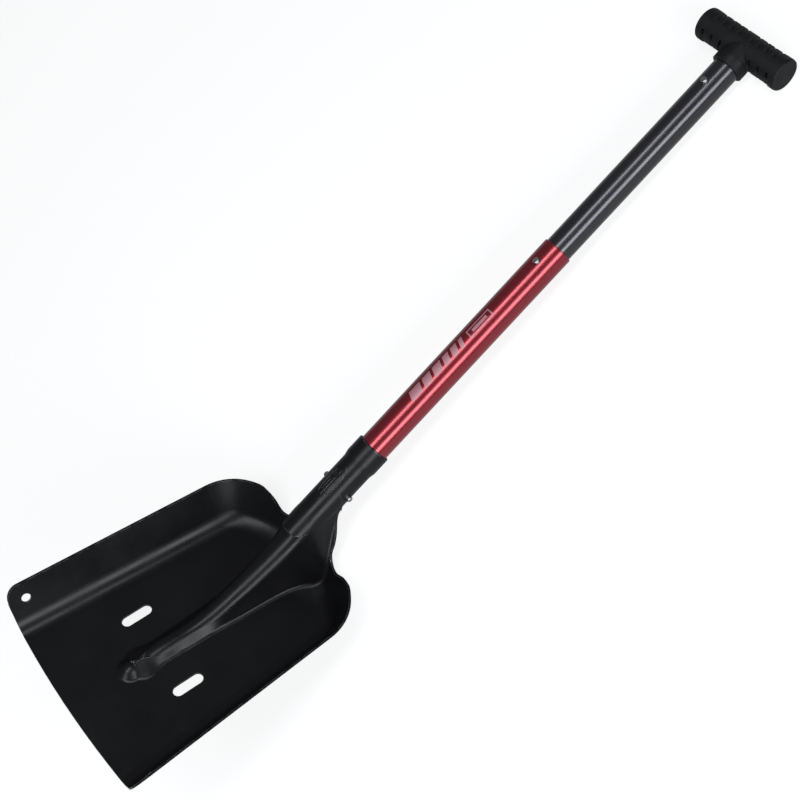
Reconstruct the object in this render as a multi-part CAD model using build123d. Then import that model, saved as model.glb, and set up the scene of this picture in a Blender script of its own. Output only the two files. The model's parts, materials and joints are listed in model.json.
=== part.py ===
from build123d import *
import math
import os

# Avalanche shovel that comes apart into a scoop blade and a telescoping T-handled shaft. Millimetres.
# Every piece is designed in the shaft frame: Y is the tubes' axis and runs to the grip, y = 0 is the mouth of the
# blade's collar, X is across, and +Z is the open side of the scoop. At the end the whole shovel is laid down so
# that the scoop's heel and the grip touch z = 0, with the origin at the middle of the box that it fills.

# Blade sheet. Reach is measured along the floor from the line through the middle of the slots, forwards.
SHEET = 2.0
LIFT_DEG = 31.0
SLOT_LINE_Y = -287.0
SLOT_LINE_Z = 36.4
FRONT_REACH = 105.5
FRONT_CORNER_SETBACK = 6.5
FRONT_CORNER_RADIUS = 15.0
RIM_HALF_WIDTH = 119.8
RIM_TAPER = 0.061
RIM_HEIGHT = 43.5
FLANGE_DEG = 64.0
BEND_RADIUS = 20.0
HEEL_CORNER_RADIUS = 30.0
HEEL_REACH = -160.5
HEEL_BOW = 0.0043

# The block that the sheet is cut from, in the floor's frame: lowest and highest corners
BLOCK_LOW = (-150.0, -120.0, -30.0)
BLOCK_HIGH = (150.0, 210.0, 110.0)
HOLLOW_FRONT = 140.0

# Height of the rim across the back, seen from behind: it dips on each side of the neck
RIM_DIP = (
    (17.0, 72.0), (20.5, 60.0), (25.5, 50.0), (28.8, 40.0), (31.5, 31.0),
    (38.0, 26.2), (47.6, 26.3), (58.0, 33.0), (72.0, 40.5), (90.0, RIM_HEIGHT),
)

# Central rib, which grows into the neck. Each station: reach, half width at the floor, crest height, crown radius
RIB_TIP = (36.0, 13.6, 8.3, 10.5)
RIB_STATIONS = (
    (10.0, 14.8, 8.5, 11.0),
    (-25.0, 15.4, 9.0, 11.0),
    (-48.0, 15.9, 11.0, 11.5),
    (-65.0, 16.3, 16.5, 12.0),
    (-80.0, 16.8, 23.0, 12.5),
    (-95.0, 17.2, 29.5, 13.0),
    (-115.0, 18.0, 39.0, 13.5),
    (-135.0, 20.0, 50.0, 14.2),
    (-155.0, 27.0, 64.5, 15.5),
    (-180.0, 38.0, 85.0, 16.5),
    (-212.0, 40.0, 104.2, 16.5),
)
RIB_FOOT_Z = -12.0
RIB_FOOT_RADIUS = 5.0

# Slots, corner holes
SLOT_X = 48.2
SLOT_LENGTH = 33.0
SLOT_WIDTH = 11.5
CORNER_HOLE_RADIUS = 4.75
CORNER_HOLE_REACH = 81.5
CORNER_HOLE_HEIGHT = 27.3

# Neck and collar
NECK_RADIUS = 17.0
NECK_BORE = 14.85
NECK_END_Y = -118.0
COLLAR_RADIUS = 18.25
COLLAR_BORE = 16.15
COLLAR_LENGTH = 18.7
COLLAR_TAPER = 6.0
COLLAR_DEPTH = 17.0
COLLAR_STEP = 3.0
SOCKET_BUTTON_Y = -53.0
# Side view (y, z) of the cut that opens the neck's underside out towards the scoop
NECK_OPENING = (
    (-50.0, -30.0), (-50.0, -18.0), (-74.0, -7.0), (-100.0, 3.0),
    (-112.0, 10.0), (-125.0, 20.0), (-140.0, 20.0), (-140.0, -30.0),
)

# Shafts
OUTER_RADIUS = 15.875
OUTER_WALL = 1.4
OUTER_END_Y = 266.3
OUTER_SHOULDER_Y = -15.5
SWAGE_RADIUS = 14.6
SWAGE_TAPER = 5.5
SWAGE_END_Y = -88.0
INNER_RADIUS = 14.2875
INNER_WALL = 1.25
INNER_LOW_Y = 222.0
INNER_TOP_Y = 520.0
TUBE_EDGE = 0.4
EXTEND_BUTTON_Y = 243.7
TRAVEL = 235.0

# Snap buttons and their leaf springs
SOCKET_BUTTON_RADIUS = 3.175
SOCKET_BUTTON_TIP = 21.3
SHAFT_BUTTON_RADIUS = 3.5
SHAFT_BUTTON_TIP = 18.9
BUTTON_CLEARANCE = 0.3
BUTTON_DOME = 0.55
BUTTON_TAIL_RADIUS = 1.5
BUTTON_TAIL_HEAD = 0.8
LEAF_THICKNESS = 0.6
LEAF_WIDTH = 9.0
LEAF_FACE = 12.2
LEAF_BEYOND_BUTTON = 6.0
LEAF_LENGTH = 38.0
LEAF_BEND_RADIUS = 4.0

# Grip
GRIP_Y = 529.8
GRIP_HALF_LENGTH = 49.8
GRIP_NEAR_RADIUS = 15.9
GRIP_FAR_RADIUS = 16.5
GRIP_FLANGE_RADIUS = 16.7
GRIP_FLANGE_WIDTH = 8.0
BUMP_GROOVE_X = (8.0, 17.5, 27.0, 36.5)
BUMP_GROOVE_RADIUS = 3.0
BUMP_GROOVE_DEPTH = 1.5
BUMP_START_Y = 3.0
POCKET_X = (19.3, 30.7, 42.2)
POCKET_WIDTH = 3.6
POCKET_HEIGHT = 7.4
POCKET_DEPTH = 3.0
POCKET_DEG = 38.0
POCKET_GROOVE_RADIUS = 2.2
POCKET_GROOVE_DEPTH = 1.1
CAVITY_RADIUS = 12.0
CAVITY_START = 22.0
STEM_RIM_Y = 503.6
STEM_RIM_EDGE = 0.8
STEM_STRAIGHT = 9.0
STEM_RADIUS = 17.5
STEM_TOP_RADIUS = 15.6
CAP_THICKNESS = 2.2
CAP_INSET = 0.4
CAP_EDGE = 0.7
PLUG_LENGTH = 8.0
PLUG_WALL = 2.0
RIVET_Y = 510.0
RIVET_RADIUS = 2.4
RIVET_HEAD_RADIUS = 4.2
RIVET_HEAD_LOW = 17.35
RIVET_HEAD_THICKNESS = 0.9
RIVET_UPSET = 1.2

PRESS_FIT = 0.05
THROUGH = 60.0

lift = math.radians(LIFT_DEG)
flange = math.radians(FLANGE_DEG)
along_x = Rot(0, 90, 0)


def brick(low, high):
    """A box from its lowest corner to its highest."""
    size = [b - a for a, b in zip(low, high)]
    middle = [(a + b) / 2 for a, b in zip(low, high)]
    return Pos(*middle) * Box(*size)


def rod(radius, low, high):
    """A solid cylinder along Y."""
    return Pos(0, (low + high) / 2, 0) * Rot(90, 0, 0) * Cylinder(radius, high - low)


def turned(points):
    """A solid turned about Y from (radius, y) points."""
    with BuildSketch() as profile:
        with BuildLine():
            Polyline(*points, close=True)
        make_face()
    return revolve(profile.sketch, Axis.Y)


def blade_plane():
    """The floor's top face: local X is across, local Y runs back to the handle, local Z is the scoop's inside."""
    return Plane(
        origin=(0, SLOT_LINE_Y, SLOT_LINE_Z),
        x_dir=(1, 0, 0),
        z_dir=(0, math.sin(lift), math.cos(lift)),
    )


def hollow(grow):
    """The space inside the scoop, open at the front and the top. grow moves its walls outwards by that much."""
    half_end = RIM_HALF_WIDTH - RIM_HEIGHT / math.tan(flange)
    side_shift = grow * math.tan(flange / 2)
    back = -HEEL_REACH + BEND_RADIUS * math.tan(flange / 2)
    front_half = half_end + RIM_TAPER * HOLLOW_FRONT + side_shift
    back_half = half_end - RIM_TAPER * back + side_shift
    corner_back = back + side_shift - HEEL_BOW * back_half**2
    with BuildSketch() as floor:
        with BuildLine():
            heel = ThreePointArc((-back_half, corner_back), (0, back + side_shift), (back_half, corner_back))
            Polyline(heel @ 1, (front_half, -HOLLOW_FRONT), (-front_half, -HOLLOW_FRONT), heel @ 0)
        make_face()
        fillet(floor.vertices().sort_by(Axis.Y)[2:], HEEL_CORNER_RADIUS + side_shift)
    space = Pos(0, 0, -grow) * extrude(floor.sketch, amount=BLOCK_HIGH[2] + grow, taper=FLANGE_DEG - 90)
    bends = space.edges().group_by(Axis.Z)[0].filter_by(lambda edge: edge.center().Y > 1 - HOLLOW_FRONT)
    return fillet(bends, BEND_RADIUS + grow)


def rib_section(station, slope, inset):
    """Cross-section of the rib: a round crown with straight flanks, which would meet the floor half_width away.
    slope is how fast the crest rises along the rib, and inset makes the section smaller all round."""
    reach, half_width, crest, full_radius = station
    centre_z = crest - full_radius
    touch = math.atan2(-centre_z, half_width) + math.acos(full_radius / math.hypot(half_width, centre_z))
    radius = full_radius - inset
    centre_z -= inset * (math.hypot(1, slope) - 1)
    shoulder = (radius * math.cos(touch), centre_z + radius * math.sin(touch))
    foot_x = shoulder[0] + (shoulder[1] - RIB_FOOT_Z) * math.tan(touch)
    crown = ThreePointArc((-shoulder[0], shoulder[1]), (0, centre_z + radius), shoulder)
    sides = Polyline(shoulder, (foot_x, RIB_FOOT_Z), (-foot_x, RIB_FOOT_Z), (-shoulder[0], shoulder[1]))
    return Plane.XZ.offset(reach).location * make_face(crown + sides)


def rib(inset):
    """The rib and the start of the neck as a filled ridge; inset gives the hollow on its underside."""
    stations = (RIB_TIP,) + RIB_STATIONS
    sections = []
    for index, station in enumerate(stations):
        before = stations[max(index - 1, 0)]
        after = stations[min(index + 1, len(stations) - 1)]
        slope = (after[2] - before[2]) / (before[0] - after[0])
        sections.append(rib_section(station, slope, inset))
    ridge = loft(sections)
    tip_reach = RIB_TIP[0]
    right_half = Plane.XZ.offset(tip_reach).location * Pos(50, 0) * Rectangle(100, 200)
    nose = revolve(sections[0] & right_half, Axis((0, -tip_reach, 0), (0, 0, 1)), 360)
    return ridge + nose


def foot_edges(solid, floor_z):
    """The edges where the rib stands on the scoop's floor."""
    found = []
    for edge in solid.edges().filter_by(GeomType.LINE, reverse=True):
        box = edge.bounding_box()
        level = abs(box.min.Z - floor_z) < 0.05 and abs(box.max.Z - floor_z) < 0.05
        beside_rib = box.size.X < 45.0 and abs(edge.center().X) < 30.0 and box.min.Y < 100.0
        if level and beside_rib:
            found.append(edge)
    return found


def pressed_sheet():
    """The whole pressing before its rim is trimmed, in the floor's own frame."""
    block = brick(BLOCK_LOW, BLOCK_HIGH)
    above = block - hollow(0) + rib(0)
    above = fillet(foot_edges(above, 0), RIB_FOOT_RADIUS)
    below = block - hollow(SHEET) + rib(SHEET)
    below = fillet(foot_edges(below, -SHEET), RIB_FOOT_RADIUS + SHEET)
    return above - below


def rim_cutter():
    """Everything above the rim, as a prism along the scoop, with a dip each side of the neck."""
    beyond_x = BLOCK_HIGH[0] + 20
    beyond_z = BLOCK_HIGH[2] + 90
    prisms = []
    for side in (1, -1):
        with BuildSketch(Plane.XZ) as profile:
            with BuildLine():
                points = [(side * x, z) for x, z in RIM_DIP]
                dip = Spline(*points, tangents=((side * 0.1, -1.0), (side, 0.0)))
                corners = [(side * beyond_x, RIM_HEIGHT), (side * beyond_x, beyond_z), (points[0][0], beyond_z)]
                Polyline(dip @ 1, *corners, dip @ 0)
            make_face()
        prisms.append(extrude(profile.sketch, amount=BLOCK_HIGH[1] + 90, both=True))
    return prisms[0] + prisms[1]


def front_cutter():
    """Trims the front to a shallow arc and rounds the two front corners of the rim."""
    half = RIM_HALF_WIDTH + RIM_TAPER * FRONT_REACH
    corner_y = FRONT_CORNER_SETBACK - FRONT_REACH
    beyond_x = half + 40
    beyond_y = BLOCK_LOW[1] - 40
    with BuildSketch() as outline:
        with BuildLine():
            edge = ThreePointArc((-half, corner_y), (0, -FRONT_REACH), (half, corner_y))
            corners = [(beyond_x, corner_y), (beyond_x, beyond_y), (-beyond_x, beyond_y), (-beyond_x, corner_y)]
            Polyline(edge @ 1, *corners, edge @ 0)
        make_face()
    ahead = Pos(0, 0, BLOCK_LOW[2]) * extrude(outline.sketch, amount=BLOCK_HIGH[2] - BLOCK_LOW[2])
    round_y = corner_y + FRONT_CORNER_RADIUS
    round_z = RIM_HEIGHT - FRONT_CORNER_RADIUS
    corner = brick((-beyond_x, beyond_y, round_z), (beyond_x, round_y, BLOCK_HIGH[2]))
    corner -= Pos(0, round_y, round_z) * along_x * Cylinder(FRONT_CORNER_RADIUS, 2 * beyond_x)
    return ahead + corner


def corner_hole(side):
    """Place of the hole in a front corner, square to the flange, in the floor's frame."""
    x = RIM_HALF_WIDTH + RIM_TAPER * CORNER_HOLE_REACH - (RIM_HEIGHT - CORNER_HOLE_HEIGHT) / math.tan(flange)
    taper = math.atan(RIM_TAPER)
    normal = Vector(
        -side * math.sin(flange) * math.cos(taper),
        -math.sin(flange) * math.sin(taper),
        math.cos(flange),
    )
    return Plane(origin=(side * x, -CORNER_HOLE_REACH, CORNER_HOLE_HEIGHT), z_dir=normal)


def neck():
    """The sheet rolled into a tube, swelling to the collar; its underside opens out towards the scoop."""
    shell = turned([
        (NECK_BORE, NECK_END_Y), (NECK_RADIUS, NECK_END_Y), (NECK_RADIUS, -COLLAR_LENGTH - COLLAR_TAPER),
        (COLLAR_RADIUS, -COLLAR_LENGTH), (COLLAR_RADIUS, 0), (COLLAR_BORE, 0),
        (COLLAR_BORE, -COLLAR_DEPTH), (NECK_BORE, -COLLAR_DEPTH - COLLAR_STEP),
    ])
    with BuildSketch(Plane.YZ) as underside:
        with BuildLine():
            Polyline(*NECK_OPENING, close=True)
        make_face()
    return shell - extrude(underside.sketch, amount=THROUGH, both=True)


def button_hole(radius, y):
    """Tool for a button's hole, through the tubes' top at y."""
    return Pos(0, y, THROUGH / 2) * Cylinder(radius + BUTTON_CLEARANCE, THROUGH)


def socket_holes():
    """Tool for the two holes that the socket buttons stand out of."""
    return Pos(0, SOCKET_BUTTON_Y, 0) * along_x * Cylinder(SOCKET_BUTTON_RADIUS + BUTTON_CLEARANCE, THROUGH)


def blade():
    """Scoop, rib, neck and collar, pressed and rolled from one sheet."""
    sheet = pressed_sheet() - rim_cutter() - front_cutter()
    slot = Rot(0, 0, 90) * extrude(SlotOverall(SLOT_LENGTH, SLOT_WIDTH), amount=15, both=True)
    for side in (1, -1):
        sheet -= Pos(side * SLOT_X, 0, 0) * slot
        sheet -= corner_hole(side) * Cylinder(CORNER_HOLE_RADIUS, 16)
    sheet = blade_plane().location * sheet
    sheet -= rod(NECK_BORE, -110.0, 10.0)
    body = sheet + neck() - socket_holes()
    return body.solids().sort_by(SortBy.VOLUME)[-1]


def outer_shaft():
    """Red tube with a swaged lower end that plugs into the neck."""
    bore = OUTER_RADIUS - OUTER_WALL
    taper_y = OUTER_SHOULDER_Y - SWAGE_TAPER
    swage_bore = SWAGE_RADIUS - OUTER_WALL
    body = turned([
        (SWAGE_RADIUS, SWAGE_END_Y), (SWAGE_RADIUS, taper_y), (OUTER_RADIUS, OUTER_SHOULDER_Y),
        (OUTER_RADIUS, OUTER_END_Y - TUBE_EDGE), (OUTER_RADIUS - TUBE_EDGE, OUTER_END_Y), (bore, OUTER_END_Y),
        (bore, OUTER_SHOULDER_Y), (swage_bore, taper_y), (swage_bore, SWAGE_END_Y),
    ])
    return body - button_hole(SHAFT_BUTTON_RADIUS, EXTEND_BUTTON_Y) - socket_holes()


def inner_shaft():
    """Black tube that telescopes in the red one."""
    bore = INNER_RADIUS - INNER_WALL
    body = turned([
        (bore, INNER_LOW_Y), (INNER_RADIUS - TUBE_EDGE, INNER_LOW_Y), (INNER_RADIUS, INNER_LOW_Y + TUBE_EDGE),
        (INNER_RADIUS, INNER_TOP_Y), (bore, INNER_TOP_Y),
    ])
    for y in (EXTEND_BUTTON_Y, EXTEND_BUTTON_Y + TRAVEL):
        body -= button_hole(SHAFT_BUTTON_RADIUS, y)
    return body - rivet_hole()


def snap_button(radius, tip):
    """A domed steel button, along +Z from the leaf's face, with a tail riveted through the leaf."""
    height = tip - LEAF_FACE
    head = Pos(0, 0, LEAF_FACE + height / 2) * Cylinder(radius, height)
    head = fillet(head.edges().sort_by(Axis.Z)[-1], radius * BUTTON_DOME)
    tail_length = LEAF_THICKNESS + 0.1
    tail = Pos(0, 0, LEAF_FACE - tail_length / 2) * Cylinder(BUTTON_TAIL_RADIUS, tail_length)
    upset_z = LEAF_FACE - tail_length - BUTTON_TAIL_HEAD / 2
    upset = Pos(0, 0, upset_z) * Cylinder(BUTTON_TAIL_RADIUS + 1.0, BUTTON_TAIL_HEAD)
    return head + tail + upset


def v_spring(double):
    """V leaf in the YZ plane, its upper arm carrying a button at y = 0, its bend towards the grip."""
    arm = LEAF_FACE - LEAF_THICKNESS / 2 - 0.02
    start = -LEAF_BEYOND_BUTTON
    knee = LEAF_LENGTH * 0.3
    with BuildLine() as path:
        points = [(start, arm), (knee, arm), (LEAF_LENGTH, 0.0), (knee, -arm), (start, -arm)]
        FilletPolyline(*points, radius=LEAF_BEND_RADIUS)
    outline = offset(path.line, amount=LEAF_THICKNESS / 2, side=Side.BOTH, closed=True)
    strip = extrude(make_face(outline.edges()), amount=LEAF_WIDTH / 2, both=True)
    strip = Rot(0, 90, 0) * Rot(0, 0, 90) * strip
    for side in (1, -1) if double else (1,):
        strip -= Pos(0, 0, side * LEAF_FACE) * Cylinder(BUTTON_TAIL_RADIUS + 0.03, 4)
    return strip


def bump_grooves():
    """Tool for the shallow grooves between the finger bumps, on the crossbar's far side."""
    reach = 2 * GRIP_FAR_RADIUS
    rings = []
    for x in BUMP_GROOVE_X:
        for side in (1, -1):
            centre = GRIP_FAR_RADIUS + BUMP_GROOVE_RADIUS - BUMP_GROOVE_DEPTH
            rings.append(Pos(side * x, 0, 0) * along_x * Torus(centre, BUMP_GROOVE_RADIUS))
    keep = brick((-GRIP_HALF_LENGTH, BUMP_START_Y, -reach), (GRIP_HALF_LENGTH, reach, reach))
    return [ring & keep for ring in rings]


def pockets():
    """Tools for the oval pockets beside the stem, each with a shallow groove below it on the near side."""
    reach = 2 * GRIP_FAR_RADIUS
    angle = math.radians(POCKET_DEG)
    outward = Vector(0, -math.cos(angle), math.sin(angle))
    tools = []
    for x in POCKET_X:
        for side in (1, -1):
            bottom = outward * (GRIP_NEAR_RADIUS - POCKET_DEPTH) + Vector(side * x, 0, 0)
            mouth = Plane(origin=bottom, x_dir=(0, math.sin(angle), math.cos(angle)), z_dir=outward)
            slot = extrude(SlotOverall(POCKET_HEIGHT, POCKET_WIDTH), amount=2 * POCKET_DEPTH)
            tools.append(mouth.location * slot)
            centre = GRIP_NEAR_RADIUS + POCKET_GROOVE_RADIUS - POCKET_GROOVE_DEPTH
            ring = Pos(side * x, 0, 0) * along_x * Torus(centre, POCKET_GROOVE_RADIUS)
            low_side = brick((-reach - x, -reach, -reach), (reach + x, -4.0, GRIP_NEAR_RADIUS * math.sin(angle)))
            tools.append(ring & low_side)
    return tools


def rivet_hole():
    """Tool for the rivet's hole and the counterbore that its head sits in, under the stem."""
    head_top = -(RIVET_HEAD_LOW - RIVET_HEAD_THICKNESS - PRESS_FIT)
    hole = Pos(0, RIVET_Y, head_top + 5) * Cylinder(RIVET_RADIUS + PRESS_FIT, 10)
    counterbore = Pos(0, RIVET_Y, head_top - 5) * Cylinder(RIVET_HEAD_RADIUS + 3 * PRESS_FIT, 10)
    return hole + counterbore


def grip():
    """Moulded T: a hollow crossbar with finger bumps on its far side and pockets on the near one, and a stem."""
    length = 2 * GRIP_HALF_LENGTH
    reach = 2 * GRIP_FAR_RADIUS
    bar = along_x * Cylinder(GRIP_NEAR_RADIUS, length)
    far = along_x * Cylinder(GRIP_FAR_RADIUS, length)
    bar += far & brick((-length, 0, -reach), (length, reach, reach))
    for ring in bump_grooves():
        bar -= ring
    for side in (1, -1):
        middle = side * (GRIP_HALF_LENGTH - GRIP_FLANGE_WIDTH / 2)
        bar += Pos(middle, 0, 0) * along_x * Cylinder(GRIP_FLANGE_RADIUS, GRIP_FLANGE_WIDTH)
    for tool in pockets():
        bar -= tool
    stem = turned([
        (0, STEM_RIM_Y), (STEM_RADIUS - STEM_RIM_EDGE, STEM_RIM_Y), (STEM_RADIUS, STEM_RIM_Y + STEM_RIM_EDGE),
        (STEM_RADIUS, STEM_RIM_Y + STEM_STRAIGHT), (STEM_TOP_RADIUS, GRIP_Y), (0, GRIP_Y),
    ])
    body = Pos(0, GRIP_Y, 0) * bar + stem
    body -= rod(INNER_RADIUS + 0.03, STEM_RIM_Y - 5, INNER_TOP_Y + 0.5)
    cavity_length = GRIP_HALF_LENGTH - CAVITY_START + 1
    for side in (1, -1):
        cavity_x = side * (CAVITY_START + cavity_length / 2)
        body -= Pos(cavity_x, GRIP_Y, 0) * along_x * Cylinder(CAVITY_RADIUS, cavity_length)
    return body - rivet_hole()


def grip_cap(side):
    """Disc that closes one end of the crossbar, with a plug that fits its cavity."""
    disc = Pos(0, 0, CAP_THICKNESS / 2) * Cylinder(GRIP_FLANGE_RADIUS - CAP_INSET, CAP_THICKNESS)
    disc = chamfer(disc.edges().sort_by(Axis.Z)[-1], CAP_EDGE)
    plug = Pos(0, 0, -PLUG_LENGTH / 2) * Cylinder(CAVITY_RADIUS - PRESS_FIT, PLUG_LENGTH)
    plug -= Pos(0, 0, -PLUG_LENGTH / 2 - 1) * Cylinder(CAVITY_RADIUS - PLUG_WALL, PLUG_LENGTH)
    return Pos(side * GRIP_HALF_LENGTH, GRIP_Y, 0) * Rot(0, side * 90, 0) * (disc + plug)


def grip_rivet():
    """Blind rivet through the underside of the stem into the inner shaft, its head in a counterbore."""
    shank_top = RIVET_UPSET + INNER_WALL - INNER_RADIUS
    head_top = RIVET_HEAD_THICKNESS - RIVET_HEAD_LOW
    shank = post(RIVET_RADIUS, head_top - 0.1, shank_top)
    head = post(RIVET_HEAD_RADIUS, -RIVET_HEAD_LOW, head_top)
    return Pos(0, RIVET_Y, 0) * (shank + head)


def post(radius, low, high):
    """A solid cylinder along Z from low to high."""
    return Pos(0, 0, (low + high) / 2) * Cylinder(radius, high - low)


def pieces():
    """Every sub-part in the shaft frame, by node name."""
    found = {
        "blade": blade(),
        "outer_shaft": outer_shaft(),
        "inner_shaft": inner_shaft(),
        "grip": grip(),
        "grip_cap_left": grip_cap(-1),
        "grip_cap_right": grip_cap(1),
        "grip_rivet": grip_rivet(),
    }
    at_socket = Pos(0, SOCKET_BUTTON_Y, 0)
    for name, turn in (("socket_button_left", -90), ("socket_button_right", 90)):
        found[name] = at_socket * Rot(0, turn, 0) * snap_button(SOCKET_BUTTON_RADIUS, SOCKET_BUTTON_TIP)
    found["socket_spring"] = at_socket * Rot(0, 90, 0) * v_spring(double=True)
    for name, y, turn in (("extend", EXTEND_BUTTON_Y, 0), ("collapse", EXTEND_BUTTON_Y + TRAVEL, 180)):
        found[name + "_button"] = Pos(0, y, 0) * snap_button(SHAFT_BUTTON_RADIUS, SHAFT_BUTTON_TIP)
        found[name + "_spring"] = Pos(0, y, 0) * Rot(0, 0, turn) * v_spring(double=False)
    return found


def lay_down(found):
    """Rotation and shift that rest the shovel on the scoop's heel and the grip, centred over the origin."""
    low, high = 0.0, 20.0
    for _ in range(12):
        tilt = (low + high) / 2
        turn = Rot(-tilt, 0, 0)
        heel = (turn * found["blade"]).bounding_box().min.Z
        hand = (turn * found["grip"]).bounding_box().min.Z
        if hand > heel:
            low = tilt
        else:
            high = tilt
    turn = Rot(-tilt, 0, 0)
    boxes = [(turn * piece).bounding_box() for piece in found.values()]
    middle_y = (min(box.min.Y for box in boxes) + max(box.max.Y for box in boxes)) / 2
    floor_z = min(box.min.Z for box in boxes)
    return Pos(0, -middle_y, -floor_z) * turn


def main():
    os.makedirs("parts", exist_ok=True)
    found = pieces()
    place = lay_down(found)
    print("laid down by", place.position, place.orientation)
    for name, piece in found.items():
        export_step(place * piece, f"parts/{name}.step")


if __name__ == "__main__":
    main()
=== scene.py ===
# %% [markdown]
# # An avalanche shovel, finished in Blender
# The shovel is a pressed aluminium scoop, two anodised tubes that slide in each other, and a moulded T-grip.
# Its solids come from the CAD frame, which stays fixed: this lesson only adds finishes and the thin pieces
# that a solid modeller leaves out, such as rolled lips, a raised badge and a printed band.
# Everything is in metres, in the same frame as the CAD, so each piece is placed from what the frame says.

# %% Load the frame
import math

import bpy
from mathutils import Matrix, Vector
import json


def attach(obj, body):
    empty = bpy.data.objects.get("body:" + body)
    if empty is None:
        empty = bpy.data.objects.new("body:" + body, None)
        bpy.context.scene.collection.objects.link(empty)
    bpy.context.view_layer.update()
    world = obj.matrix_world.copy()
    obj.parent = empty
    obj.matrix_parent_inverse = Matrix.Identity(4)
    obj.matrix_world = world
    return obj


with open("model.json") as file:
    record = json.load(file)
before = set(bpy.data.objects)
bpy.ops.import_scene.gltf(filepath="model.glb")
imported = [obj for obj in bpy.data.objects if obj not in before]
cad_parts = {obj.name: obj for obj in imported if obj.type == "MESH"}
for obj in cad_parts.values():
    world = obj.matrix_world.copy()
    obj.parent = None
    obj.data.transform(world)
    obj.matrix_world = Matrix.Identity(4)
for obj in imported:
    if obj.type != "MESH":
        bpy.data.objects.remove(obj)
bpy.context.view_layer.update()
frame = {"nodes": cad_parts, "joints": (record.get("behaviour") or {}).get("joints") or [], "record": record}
cad_nodes = frame["nodes"]
MM = 0.001
print("CAD nodes:", sorted(cad_nodes))

# %% [markdown]
# ## Where the shaft lies
# The shovel lies on its scoop and its grip, so the shaft slopes a few degrees. Every piece on the shaft is
# easier to model in the shaft's own directions: X across, Y along the tube towards the grip, Z up and out.
# The telescope joint gives the tube's direction, and the clip mount on the tube gives a point of its axis.
# Stations along the shaft are counted from the collar's mouth, and the clip sits 120 mm above it.

# %% The shaft's own frame
telescope = next(joint for joint in frame["joints"] if joint["name"] == "telescope")
along = Vector(telescope["axis"]).normalized()
across = Vector((1, 0, 0))
outward = across.cross(along)
clip = next(mount for mount in frame["record"]["mounts"] if mount["name"] == "shaft_clip")
CLIP_STATION = 120 * MM
mouth_point = Vector(clip["pos_m"]) - along * CLIP_STATION
shaft_frame = Matrix((across, along, outward)).transposed().to_4x4()
shaft_frame.translation = mouth_point
shaft_slope = math.atan2(along.z, along.y)
print("collar mouth at", tuple(round(value, 4) for value in mouth_point))
print("the shaft slopes by", round(math.degrees(shaft_slope), 2), "degrees")

# %% [markdown]
# ## The camera
# A shovel shows best from well above, along the long diagonal, where the scoop's inside and the whole shaft
# can be seen at once. A longer lens keeps the parallel tubes nearly parallel. The camera looks down at about
# 59 degrees and is rolled, so that the scoop sits at the lower left. It is set from three directions, forward,
# up and right, because those say its tilt and its roll together.

# %% Set the camera
LENS = 63.255
AIM = Vector((-0.0207, -0.0352, 0.03))
DISTANCE = 1.4142
VIEW_FORWARD = Vector((-0.4947, -0.1195, -0.8608)).normalized()
VIEW_UP = Vector((-0.6193, 0.7433, 0.2528))
view_right = VIEW_FORWARD.cross(VIEW_UP).normalized()
view_up = view_right.cross(VIEW_FORWARD)
camera_data = bpy.data.cameras.new("camera")
camera_data.lens = LENS
camera_data.sensor_width = 36.0
camera_data.dof.use_dof = False
camera = bpy.data.objects.new("camera", camera_data)
bpy.context.scene.collection.objects.link(camera)
camera.matrix_world = Matrix((view_right, view_up, -VIEW_FORWARD)).transposed().to_4x4()
camera.location = AIM - VIEW_FORWARD * DISTANCE
bpy.context.scene.camera = camera
bpy.context.scene.view_settings.view_transform = "Standard"
print("camera at", tuple(round(value, 3) for value in camera.location))

# %% [markdown]
# ## Floor and light
# Shiny tubes show their lights as long streaks, so the lights here are two long soft boxes hung along the
# shaft, one nearly overhead and one low at the side. Each makes one streak on each tube. The space between
# them stays dark, and that is what keeps the black scoop black. The pale floor looks nearly white, as an
# evenly lit table does, but glows only faintly in the shovel's own reflections, or the tubes' lower sides
# would wash out. The Light Path node tells the two apart.

# %% Build the studio
LIGHT_DISTANCE = 1.6
LIGHT_SHIFT = Vector((0, -0.1, 0))
SOFT_BOX_LENGTH = 2.2
DAYLIGHT = (0.92, 0.95, 1.0)
FLOOR_SIZE = 14


def soft_box(name, direction, width, radiance):
    """A long area light along the shaft, at a given brightness whatever its size."""
    data = bpy.data.lights.new(name, "AREA")
    data.shape = "RECTANGLE"
    data.size = width
    data.size_y = SOFT_BOX_LENGTH
    data.energy = radiance * math.pi * width * SOFT_BOX_LENGTH
    data.color = DAYLIGHT
    light = bpy.data.objects.new(name, data)
    bpy.context.scene.collection.objects.link(light)
    towards = Vector(direction).normalized()
    side = Vector((0, 1, 0)).cross(towards).normalized()
    light.matrix_world = Matrix((side, towards.cross(side), towards)).transposed().to_4x4()
    light.location = towards * LIGHT_DISTANCE + LIGHT_SHIFT


soft_box("overhead_box", direction=(0.11, -0.02, 0.99), width=0.42, radiance=3.2)
soft_box("side_box", direction=(0.87, -0.02, 0.49), width=0.55, radiance=3.4)

world = bpy.data.worlds.new("studio")
world.use_nodes = True
room = world.node_tree.nodes["Background"]
room.inputs["Color"].default_value = (0.9, 0.93, 1.0, 1)
room.inputs["Strength"].default_value = 0.12
bpy.context.scene.world = world

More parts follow.
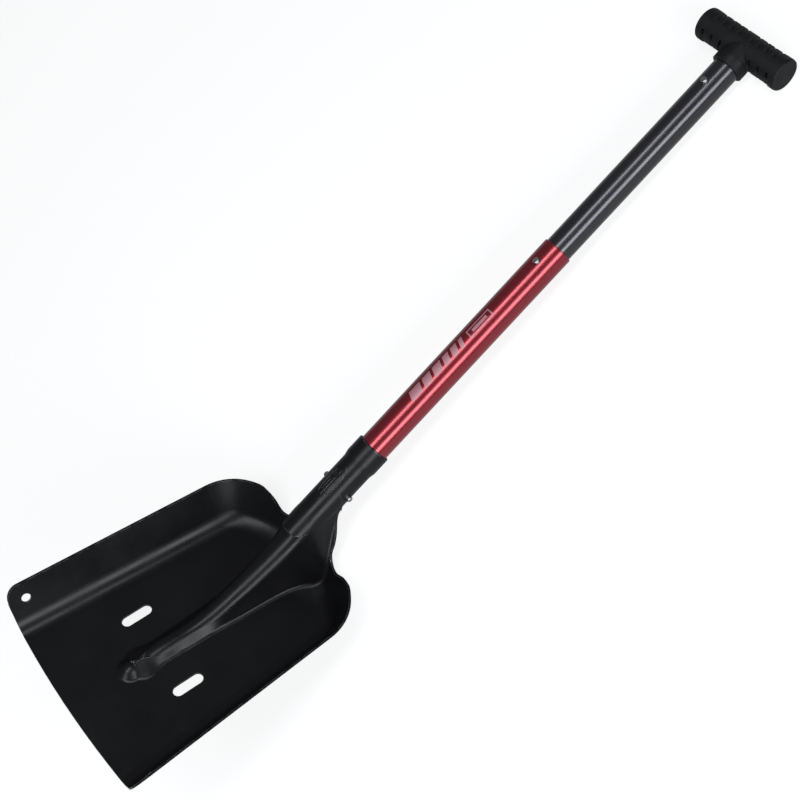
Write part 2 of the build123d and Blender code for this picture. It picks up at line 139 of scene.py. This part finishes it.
bpy.ops.object.select_all(action="DESELECT")
bpy.ops.mesh.primitive_plane_add(size=FLOOR_SIZE, location=(0, 0, 0))
floor = bpy.context.object
floor.name = "floor"
floor_finish = bpy.data.materials.new("pale_sweep")
floor_finish.use_nodes = True
floor_shader = floor_finish.node_tree.nodes["Principled BSDF"]
floor_shader.inputs["Base Color"].default_value = (0.38, 0.38, 0.38, 1)
floor_shader.inputs["Roughness"].default_value = 0.9
floor_shader.inputs["Emission Color"].default_value = (1, 1, 1, 1)
seen_directly = floor_finish.node_tree.nodes.new("ShaderNodeLightPath")
floor_glow = floor_finish.node_tree.nodes.new("ShaderNodeMapRange")
floor_glow.inputs["To Min"].default_value = 0.1
floor_glow.inputs["To Max"].default_value = 0.82
floor_finish.node_tree.links.new(seen_directly.outputs["Is Camera Ray"], floor_glow.inputs["Value"])
floor_finish.node_tree.links.new(floor_glow.outputs["Result"], floor_shader.inputs["Emission Strength"])
floor.data.materials.append(floor_finish)

# %% [markdown]
# ## Small helpers for node trees
# A finish is a chain of nodes. Two helpers keep the chains short to read: one adds a node with its values,
# the other joins an output to an input.

# %% Node helpers
def add_node(tree, kind, values=None, **settings):
    """A node of that kind, with its settings and its inputs' values."""
    node = tree.nodes.new(kind)
    for name, value in settings.items():
        setattr(node, name, value)
    for socket, value in (values or {}).items():
        node.inputs[socket].default_value = value
    return node


def join(tree, output, target):
    """One link between two sockets."""
    tree.links.new(output, target)


def start_group(name, inputs, outputs):
    """An empty shader group with named sockets, each given as (name, socket type, value)."""
    group = bpy.data.node_groups.new(name, "ShaderNodeTree")
    for socket, kind, value in inputs:
        made = group.interface.new_socket(socket, in_out="INPUT", socket_type=kind)
        made.default_value = value
    for socket, kind in outputs:
        group.interface.new_socket(socket, in_out="OUTPUT", socket_type=kind)
    return group, group.nodes.new("NodeGroupInput"), group.nodes.new("NodeGroupOutput")


FLOAT = "NodeSocketFloat"
VECTOR = "NodeSocketVector"

# %% [markdown]
# ## Edge wear
# Paint and anodising go first where a corner rubs on rock and ice. The Bevel node gives a normal as if every
# corner were rounded; where it differs from the true normal there is a corner. A noise breaks that line into
# chips, so that the wear looks found rather than drawn. One group serves every finish, with its own radius.

# %% Group: edge wear
wear_group, wear_in, wear_out = start_group(
    "edge_wear",
    [("Radius", FLOAT, 0.0008), ("Chip Scale", FLOAT, 150.0), ("Amount", FLOAT, 0.5)],
    [("Mask", FLOAT)],
)
wear_place = add_node(wear_group, "ShaderNodeTexCoord")
rounded = add_node(wear_group, "ShaderNodeBevel", samples=6)
true_normal = add_node(wear_group, "ShaderNodeNewGeometry")
agreement = add_node(wear_group, "ShaderNodeVectorMath", operation="DOT_PRODUCT")
corner = add_node(wear_group, "ShaderNodeMapRange", {"From Min": 0.995, "From Max": 0.86})
chips = add_node(wear_group, "ShaderNodeTexNoise", {"Detail": 6.0, "Roughness": 0.65})
chip_limit = add_node(wear_group, "ShaderNodeMath", operation="SUBTRACT")
chip_limit.inputs[0].default_value = 1.0
broken = add_node(wear_group, "ShaderNodeMapRange")
limit_end = add_node(wear_group, "ShaderNodeMath", operation="ADD")
limit_end.inputs[1].default_value = 0.08
worn = add_node(wear_group, "ShaderNodeMath", operation="MULTIPLY")
join(wear_group, wear_in.outputs["Radius"], rounded.inputs["Radius"])
join(wear_group, rounded.outputs["Normal"], agreement.inputs[0])
join(wear_group, true_normal.outputs["Normal"], agreement.inputs[1])
join(wear_group, agreement.outputs["Value"], corner.inputs["Value"])
join(wear_group, wear_place.outputs["Object"], chips.inputs["Vector"])
join(wear_group, wear_in.outputs["Chip Scale"], chips.inputs["Scale"])
join(wear_group, wear_in.outputs["Amount"], chip_limit.inputs[1])
join(wear_group, chip_limit.outputs["Value"], limit_end.inputs[0])
join(wear_group, chips.outputs["Fac"], broken.inputs["Value"])
join(wear_group, chip_limit.outputs["Value"], broken.inputs["From Min"])
join(wear_group, limit_end.outputs["Value"], broken.inputs["From Max"])
join(wear_group, corner.outputs["Result"], worn.inputs[0])
join(wear_group, broken.outputs["Result"], worn.inputs[1])
join(wear_group, worn.outputs["Value"], wear_out.inputs["Mask"])
print("group edge_wear:", len(wear_group.nodes), "nodes")

# %% [markdown]
# ## Handling marks
# No real surface is evenly shiny: hands and snow leave broad soft patches, and sliding leaves fine lines.
# This group makes both from noise. Stretch multiplies the place before the noise reads it: a small value along
# the tube draws the pattern out into long thin lines, and ones all round leave round patches. Value is the
# noise spread between Low and High, for a roughness or a tone; Noise is the bare pattern, for a relief.

# %% Group: handling marks
marks_group, marks_in, marks_out = start_group(
    "handling_marks",
    [("Scale", FLOAT, 60.0), ("Stretch", VECTOR, (1, 1, 1)), ("Low", FLOAT, 0.3), ("High", FLOAT, 0.5)],
    [("Value", FLOAT), ("Noise", FLOAT)],
)
marks_place = add_node(marks_group, "ShaderNodeTexCoord")
marks_turn = add_node(marks_group, "ShaderNodeMapping", {"Rotation": (-shaft_slope, 0, 0)})
marks_stretch = add_node(marks_group, "ShaderNodeVectorMath", operation="MULTIPLY")
marks_noise = add_node(marks_group, "ShaderNodeTexNoise", {"Detail": 5.0, "Roughness": 0.6})
marks_range = add_node(marks_group, "ShaderNodeMapRange", {"From Min": 0.3, "From Max": 0.7})
join(marks_group, marks_place.outputs["Object"], marks_turn.inputs["Vector"])
join(marks_group, marks_turn.outputs["Vector"], marks_stretch.inputs[0])
join(marks_group, marks_in.outputs["Stretch"], marks_stretch.inputs[1])
join(marks_group, marks_stretch.outputs["Vector"], marks_noise.inputs["Vector"])
join(marks_group, marks_in.outputs["Scale"], marks_noise.inputs["Scale"])
join(marks_group, marks_noise.outputs["Fac"], marks_range.inputs["Value"])
join(marks_group, marks_in.outputs["Low"], marks_range.inputs["To Min"])
join(marks_group, marks_in.outputs["High"], marks_range.inputs["To Max"])
join(marks_group, marks_range.outputs["Result"], marks_out.inputs["Value"])
join(marks_group, marks_noise.outputs["Fac"], marks_out.inputs["Noise"])
print("group handling_marks:", len(marks_group.nodes), "nodes")

# %% [markdown]
# ## One recipe for every finish
# Each finish of this shovel is the same idea with other values: a skin over something else that shows where
# the skin is worn, patchy gloss, and a fine relief. So one function builds them all. The Principled shader
# stays in the material, and values that don't change over the surface are set on its own sockets.

# %% The finish recipe
TONE_SHARE = 0.4
DARKER, LIGHTER = 0.82, 1.18


def make_finish(name, skin, worn_colour, metal, gloss, patches, relief, wear):
    """A material for one finish. skin and worn_colour are linear colours, and metal says how metallic each is.
    gloss is the lowest and highest roughness, patches is (scale, stretch), relief is (scale, stretch, depth in
    metres), and wear is (radius, chip scale, amount)."""
    material = bpy.data.materials.new(name)
    material.use_nodes = True
    tree = material.node_tree
    shader = tree.nodes["Principled BSDF"]
    edges = add_node(tree, "ShaderNodeGroup", node_tree=wear_group)
    for socket, value in zip(("Radius", "Chip Scale", "Amount"), wear):
        edges.inputs[socket].default_value = value
    shine = add_node(tree, "ShaderNodeGroup", node_tree=marks_group)
    shine.inputs["Scale"].default_value = patches[0]
    shine.inputs["Stretch"].default_value = patches[1]
    shine.inputs["Low"].default_value = gloss[0]
    shine.inputs["High"].default_value = gloss[1]
    tone = add_node(tree, "ShaderNodeGroup", node_tree=marks_group)
    tone.inputs["Scale"].default_value = patches[0] * TONE_SHARE
    tone.inputs["Stretch"].default_value = patches[1]
    tone.inputs["Low"].default_value = 0.0
    tone.inputs["High"].default_value = 1.0
    skin_mix = add_node(tree, "ShaderNodeMix", data_type="RGBA")
    skin_mix.inputs["A"].default_value = [value * DARKER for value in skin] + [1]
    skin_mix.inputs["B"].default_value = [min(1.0, value * LIGHTER) for value in skin] + [1]
    colour = add_node(tree, "ShaderNodeMix", data_type="RGBA")
    colour.inputs["B"].default_value = list(worn_colour) + [1]
    metallic = add_node(tree, "ShaderNodeMapRange", {"To Min": metal[0], "To Max": metal[1]})
    texture = add_node(tree, "ShaderNodeGroup", node_tree=marks_group)
    texture.inputs["Scale"].default_value = relief[0]
    texture.inputs["Stretch"].default_value = relief[1]
    bump = add_node(tree, "ShaderNodeBump", {"Strength": 1.0, "Distance": relief[2]})
    join(tree, tone.outputs["Value"], skin_mix.inputs["Factor"])
    join(tree, skin_mix.outputs["Result"], colour.inputs["A"])
    join(tree, edges.outputs["Mask"], colour.inputs["Factor"])
    join(tree, colour.outputs["Result"], shader.inputs["Base Color"])
    join(tree, edges.outputs["Mask"], metallic.inputs["Value"])
    join(tree, metallic.outputs["Result"], shader.inputs["Metallic"])
    join(tree, shine.outputs["Value"], shader.inputs["Roughness"])
    join(tree, texture.outputs["Noise"], bump.inputs["Height"])
    join(tree, bump.outputs["Normal"], shader.inputs["Normal"])
    return material


EVEN = (1, 1, 1)
DRAWN = (1, 0.04, 1)
BARE_ALUMINIUM = (0.62, 0.62, 0.64)

# %% [markdown]
# ## The finishes
# - **blade_black**: satin black on pressed sheet, worn to bare aluminium along the rim.
# - **red_anodised** and **black_anodised**: dye under a clear oxide on drawn tube. The oxide is a thin coat, so
#   the streaks keep a little white in them. Drawing leaves faint lines along the tube.
# - **grip_nylon**: moulded plastic with a fine sandy texture, polished by hands on its high places.
# - **button_steel** and **spring_steel**: polished pins and plain rolled strip.
# - **print_ink**: matt pale ink of the printed band.

# %% Make the finishes
finishes = {
    "blade_black": make_finish(
        "blade_black", (0.0075, 0.0075, 0.0084), BARE_ALUMINIUM, (0.0, 1.0), (0.26, 0.38),
        (25, EVEN), (1400, EVEN, 0.00002), (0.0007, 90, 0.56),
    ),
    "red_anodised": make_finish(
        "red_anodised", (0.5, 0.006, 0.025), BARE_ALUMINIUM, (0.85, 1.0), (0.24, 0.36),
        (160, DRAWN), (1500, DRAWN, 0.0000025), (0.0004, 200, 0.45),
    ),
    "black_anodised": make_finish(
        "black_anodised", (0.05, 0.047, 0.057), BARE_ALUMINIUM, (0.9, 1.0), (0.26, 0.38),
        (160, DRAWN), (1500, DRAWN, 0.0000025), (0.0004, 200, 0.45),
    ),
    "grip_nylon": make_finish(
        "grip_nylon", (0.0095, 0.0095, 0.0098), (0.03, 0.03, 0.03), (0.0, 0.0), (0.42, 0.6),
        (70, EVEN), (1100, EVEN, 0.00006), (0.001, 120, 0.6),
    ),
    "button_steel": make_finish(
        "button_steel", (0.68, 0.68, 0.69), (0.8, 0.8, 0.8), (1.0, 1.0), (0.14, 0.26),
        (300, EVEN), (2500, EVEN, 0.000004), (0.0003, 300, 0.5),
    ),
    "spring_steel": make_finish(
        "spring_steel", (0.4, 0.4, 0.42), (0.6, 0.6, 0.6), (1.0, 1.0), (0.3, 0.45),
        (200, EVEN), (1800, EVEN, 0.000008), (0.0003, 300, 0.5),
    ),
    "print_ink": make_finish(
        "print_ink", (0.78, 0.36, 0.4), (0.5, 0.02, 0.04), (0.3, 0.6), (0.34, 0.46),
        (160, DRAWN), (1500, DRAWN, 0.000004), (0.0002, 400, 0.42),
    ),
}
for name in ("red_anodised", "black_anodised"):
    coat = finishes[name].node_tree.nodes["Principled BSDF"]
    coat.inputs["Coat Weight"].default_value = 1.0
    coat.inputs["Coat Roughness"].default_value = 0.2
    coat.inputs["Coat IOR"].default_value = 1.85
print("finishes:", sorted(finishes))

# %% [markdown]
# ## Give the CAD nodes their finishes
# The record says which material slot each node belongs to. A CAD node's mesh is part of the frame and is left
# as it is: only its material changes, so every dimension stays what the solid modeller made.

# %% Dress the CAD nodes
for part in frame["record"]["subparts"]:
    node = cad_nodes[part["node"]]
    finish = finishes[part["material_slot"]]
    if not node.data.materials:
        node.data.materials.append(finish)
    for place in node.material_slots:
        place.material = finish

# %% [markdown]
# ## How a piece is finished off
# New pieces are modelled in the shaft's own directions, near the world's origin, where "along Y" is along the
# tube. When its shape is done, the object is moved to the shaft and its place is applied, so that the finished
# object sits at the origin with its place in its mesh, as the CAD nodes do.

# %% Helpers for new pieces
def begin():
    """Leaves edit mode and selects nothing, so that an operator acts only on the next piece."""
    if bpy.context.object and bpy.context.object.mode != "OBJECT":
        bpy.ops.object.mode_set(mode="OBJECT")
    bpy.ops.object.select_all(action="DESELECT")


def settle(piece, name, body, finish):
    """Moves a piece to the shaft, applies its place, dresses it and rides it on its body."""
    begin()
    piece.select_set(True)
    bpy.context.view_layer.objects.active = piece
    piece.matrix_world = shaft_frame @ piece.matrix_world
    bpy.ops.object.transform_apply(location=True, rotation=True, scale=True)
    bpy.ops.object.shade_smooth_by_angle(angle=math.radians(35))
    piece.name = name
    piece.data.name = name
    piece.data.materials.clear()
    piece.data.materials.append(finishes[finish])
    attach(piece, body)
    print(name, len(piece.data.polygons), "faces on", body)
    return piece


def apply_modifier(piece, kind, **settings):
    """Adds a modifier, sets it and applies it."""
    begin()
    piece.select_set(True)
    bpy.context.view_layer.objects.active = piece
    modifier = piece.modifiers.new(kind.lower(), kind)
    for name, value in settings.items():
        setattr(modifier, name, value)
    bpy.ops.object.modifier_apply(modifier=modifier.name)

# %% [markdown]
# ## Rolled lips
# The collar's mouth and the red tube's mouth are not cut square: each has a small rolled lip that guides the
# inner tube in and catches the light as a thin bright ring. A torus is the natural start. It is squashed a
# little, because a rolled lip is not quite a round bead.

# %% Roll the two lips
LIPS = [
    ("collar_lip", "blade", "blade_black", "blade_black", 0.0, 17.2, 0.85),
    ("red_tube_lip", "outer_tube", "red_anodised", "red_anodised", 266.3, 15.2, 0.62),
]
for name, body, slot, finish, station, ring, bead in LIPS:
    begin()
    bpy.ops.mesh.primitive_torus_add(
        major_radius=ring * MM, minor_radius=bead * MM, major_segments=96, minor_segments=16,
        rotation=(math.pi / 2, 0, 0),
    )
    lip = bpy.context.object
    bpy.ops.object.mode_set(mode="EDIT")
    bpy.ops.mesh.select_all(action="SELECT")
    bpy.ops.transform.resize(value=(1, 0.8, 1))
    bpy.ops.object.mode_set(mode="OBJECT")
    lip.location = (0, station * MM, 0)
    settle(lip, name, body, finish)

# %% [markdown]
# ## Patches that lie on a tube
# Ink and raised marks follow the round of the tube. A patch is cut from a thin cylinder wall by planes, as one
# would cut a label from a sleeve, so its curve is the tube's own. Each bisect throws away one side.

# %% A patch cut from a sleeve
def sleeve_patch(radius, start, end, low_angle, high_angle, lean=0.0):
    """A patch of a sleeve between two stations along the tube and two angles from straight out, in degrees.
    lean slants its two ends, as a share of the tube's radius."""
    begin()
    bpy.ops.mesh.primitive_cylinder_add(
        vertices=180, radius=radius * MM, depth=(end - start + 40) * MM, end_fill_type="NOTHING",
        rotation=(math.pi / 2, 0, 0), location=(0, (start + end) / 2 * MM, 0),
    )
    patch = bpy.context.object
    bpy.ops.object.transform_apply(location=True, rotation=True, scale=True)
    low, high = math.radians(low_angle), math.radians(high_angle)
    cuts = [
        ((0, start * MM, 0), (-lean, -1, 0)),
        ((0, end * MM, 0), (lean, 1, 0)),
        ((0, 0, 0), (-math.cos(low), 0, math.sin(low))),
        ((0, 0, 0), (math.cos(high), 0, -math.sin(high))),
    ]
    bpy.ops.object.mode_set(mode="EDIT")
    for point, normal in cuts:
        bpy.ops.mesh.select_all(action="SELECT")
        bpy.ops.mesh.bisect(plane_co=point, plane_no=normal, clear_outer=True, use_fill=False)
    bpy.ops.object.mode_set(mode="OBJECT")
    return patch

# %% [markdown]
# ## The printed band
# A band of pale ink runs along the red tube: slanted bars of falling width, and a box at the end.
# It stands for a maker's print without being anyone's. Real ink is a few hundredths of a millimetre thick; here
# it is a shell of that thickness so that it is a shape of its own and not only a colour.

# %% Print the bars
INK_RADIUS = 15.9
INK_THICKNESS = 0.04
BAR_START = 63.0
BAR_GAP = 3.5
BAR_LEAN = 0.35
BAR_ANGLES = (-19, 21)
bar_widths = (15, 11, 11, 8, 8, 5)
station = BAR_START
bars = []
for width in bar_widths:
    bar = sleeve_patch(INK_RADIUS, station, station + width, *BAR_ANGLES, lean=BAR_LEAN)
    apply_modifier(bar, "SOLIDIFY", thickness=INK_THICKNESS * MM, offset=1.0)
    bars.append(bar)
    station += width + BAR_GAP
for number, bar in enumerate(bars):
    settle(bar, f"print_bar_{number + 1}", "outer_tube", "print_ink")

# %% [markdown]
# ## The printed box
# The box is a frame with one bar in it. Its four sides and the bar are five patches of the same sleeve, joined
# into one piece. Cut one by one they keep an even width, which an inset of a curved patch would not.

# %% Print the frame
BOX_START, BOX_END = station + 4, station + 36
LINE_WIDTH = 1.4
BOX_MARGIN = 6
frame_parts = [
    (BOX_START, BOX_END, -16, -11), (BOX_START, BOX_END, 13, 18),
    (BOX_START, BOX_START + LINE_WIDTH, -11, 13), (BOX_END - LINE_WIDTH, BOX_END, -11, 13),
    (BOX_START + BOX_MARGIN, BOX_END - BOX_MARGIN, -5, 7),
]
edges_of_frame = []
for start, end, low, high in frame_parts:
    side = sleeve_patch(INK_RADIUS, start, end, low, high)
    apply_modifier(side, "SOLIDIFY", thickness=INK_THICKNESS * MM, offset=1.0)
    edges_of_frame.append(side)
begin()
for side in edges_of_frame:
    side.select_set(True)
bpy.context.view_layer.objects.active = edges_of_frame[0]
bpy.ops.object.join()
settle(bpy.context.object, "print_frame", "outer_tube", "print_ink")

# %% [markdown]
# ## The raised badge on the neck
# The neck carries a raised oval pressed from inside. Here it is a plain oval ring with three long bars in it.
# The ring starts as a flat circle of edges, extruded into a band and stretched to an oval; Shrinkwrap then lays
# it on the neck, and Solidify gives it height. Laying it on after it is drawn keeps its outline true.

# %% Raise the badge
BADGE_STATION = -52.0
BADGE_HEIGHT = 0.55
BADGE_SUNK = 0.4
BADGE_EDGE = 0.18
NECK_RADIUS = 17.0
ABOVE_NECK = 30.0
OVAL_OUTSIDE = (7.4, 22.5)
OVAL_INSIDE = (5.9, 21.0)


def lay_on_neck(piece):
    """Drops a flat piece onto the neck and gives it height, with a soft edge. A little of it stays sunk."""
    begin()
    bpy.ops.mesh.primitive_cylinder_add(
        vertices=180, radius=NECK_RADIUS * MM, depth=120 * MM, rotation=(math.pi / 2, 0, 0),
        location=(0, BADGE_STATION * MM, 0),
    )
    form = bpy.context.object
    apply_modifier(
        piece, "SHRINKWRAP", target=form, wrap_method="PROJECT", use_project_z=True,
        use_negative_direction=True, use_positive_direction=False,
    )
    thickness = BADGE_HEIGHT + BADGE_SUNK
    apply_modifier(piece, "SOLIDIFY", thickness=thickness * MM, offset=(BADGE_HEIGHT - BADGE_SUNK) / thickness)
    apply_modifier(
        piece, "BEVEL", width=BADGE_EDGE * MM, segments=2, limit_method="ANGLE", angle_limit=math.radians(50),
    )
    bpy.data.objects.remove(form)


begin()
bpy.ops.mesh.primitive_circle_add(vertices=96, radius=1, location=(0, BADGE_STATION * MM, ABOVE_NECK * MM))
ring = bpy.context.object
bpy.ops.object.mode_set(mode="EDIT")
bpy.ops.mesh.select_all(action="SELECT")
bpy.ops.transform.resize(value=(OVAL_OUTSIDE[0] * MM, OVAL_OUTSIDE[1] * MM, 1))
bpy.ops.mesh.extrude_region_move()
bpy.ops.transform.resize(value=(OVAL_INSIDE[0] / OVAL_OUTSIDE[0], OVAL_INSIDE[1] / OVAL_OUTSIDE[1], 1))
bpy.ops.object.mode_set(mode="OBJECT")
bpy.ops.object.transform_apply(location=True, rotation=True, scale=True)
lay_on_neck(ring)
settle(ring, "neck_badge_ring", "blade", "blade_black")

# %% [markdown]
# ## The badge's bars
# Three bars fill the oval, the middle one longer. Each starts as a small grid, because a face without inner
# edges would stay flat where the neck is round.

# %% Raise the bars
BADGE_BAR_WIDTH = 1.7
badge_bars = ((-3.2, 22), (0.0, 32), (3.2, 22))
for number, (aside, length) in enumerate(badge_bars):
    begin()
    bpy.ops.mesh.primitive_grid_add(
        x_subdivisions=4, y_subdivisions=2, size=1, location=(aside * MM, BADGE_STATION * MM, ABOVE_NECK * MM),
    )
    bar = bpy.context.object
    bpy.ops.object.mode_set(mode="EDIT")
    bpy.ops.mesh.select_all(action="SELECT")
    bpy.ops.transform.resize(value=(BADGE_BAR_WIDTH * MM, length * MM, 1))
    bpy.ops.object.mode_set(mode="OBJECT")
    bpy.ops.object.transform_apply(location=True, rotation=True, scale=True)
    lay_on_neck(bar)
    settle(bar, f"neck_badge_bar_{number + 1}", "blade", "blade_black")

# %% [markdown]
# ## Finishing off
# At the end, edit mode is left and nothing stays selected.

# %% Finish
import json

begin()
